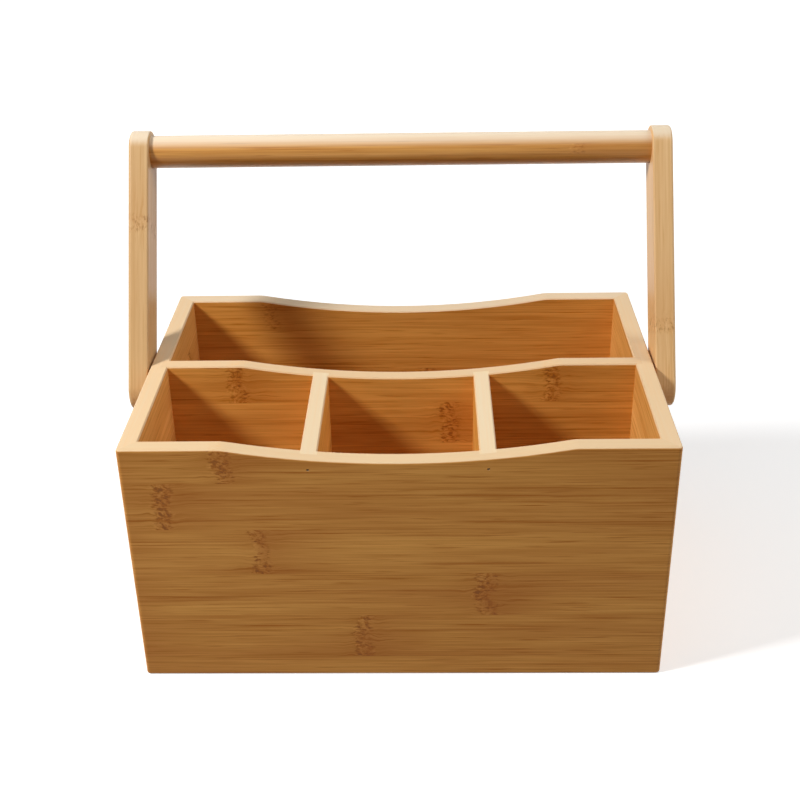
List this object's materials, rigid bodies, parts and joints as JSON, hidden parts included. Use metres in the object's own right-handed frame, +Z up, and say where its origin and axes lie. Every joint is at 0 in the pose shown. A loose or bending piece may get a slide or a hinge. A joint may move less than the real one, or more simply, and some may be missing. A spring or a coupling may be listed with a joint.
{
  "type": "utensil caddy",
  "caption": "Bamboo utensil caddy: mitred open box with a waved rim, short front compartments, a long rear one, and a round bar handle that swings on screws.",
  "frame": {"origin": "middle of the footprint, on the surface the caddy stands on", "axes": "+X to the right along the box, +Y from the front board to the back board, +Z up"},
  "size_m": [0.283, 0.178, 0.2373],
  "materials": {
    "bamboo_box": "laminated bamboo, satin clear lacquer",
    "bamboo_handle": "laminated bamboo, satin clear lacquer",
    "plated_steel": "zinc plated",
    "brad_steel": "plain wire"
  },
  "bodies": {
    "caddy": {"front_board": "bamboo_box", "back_board": "bamboo_box", "left_side_board": "bamboo_box", "right_side_board": "bamboo_box", "base_panel": "bamboo_box", "long_partition": "bamboo_box", "left_divider": "bamboo_box", "right_divider": "bamboo_box", "spline_front_left": "bamboo_box", "spline_front_right": "bamboo_box", "spline_back_left": "bamboo_box", "spline_back_right": "bamboo_box", "left_pivot_screw": "plated_steel", "right_pivot_screw": "plated_steel", "left_head_washer": "plated_steel", "right_head_washer": "plated_steel", "left_spacer_washer": "plated_steel", "right_spacer_washer": "plated_steel", "left_divider_brad": "brad_steel", "right_divider_brad": "brad_steel"},
    "handle": {"left_handle_arm": "bamboo_handle", "right_handle_arm": "bamboo_handle", "handle_bar": "bamboo_handle", "left_bar_screw": "plated_steel", "right_bar_screw": "plated_steel"}
  },
  "joints": [
    {"name": "handle_swing", "type": "hinge", "parent": "caddy", "child": "handle", "pos_m": [0, 0, 0.118], "axis": [1, 0, 0], "range_deg": [-98, 158]}
  ]
}
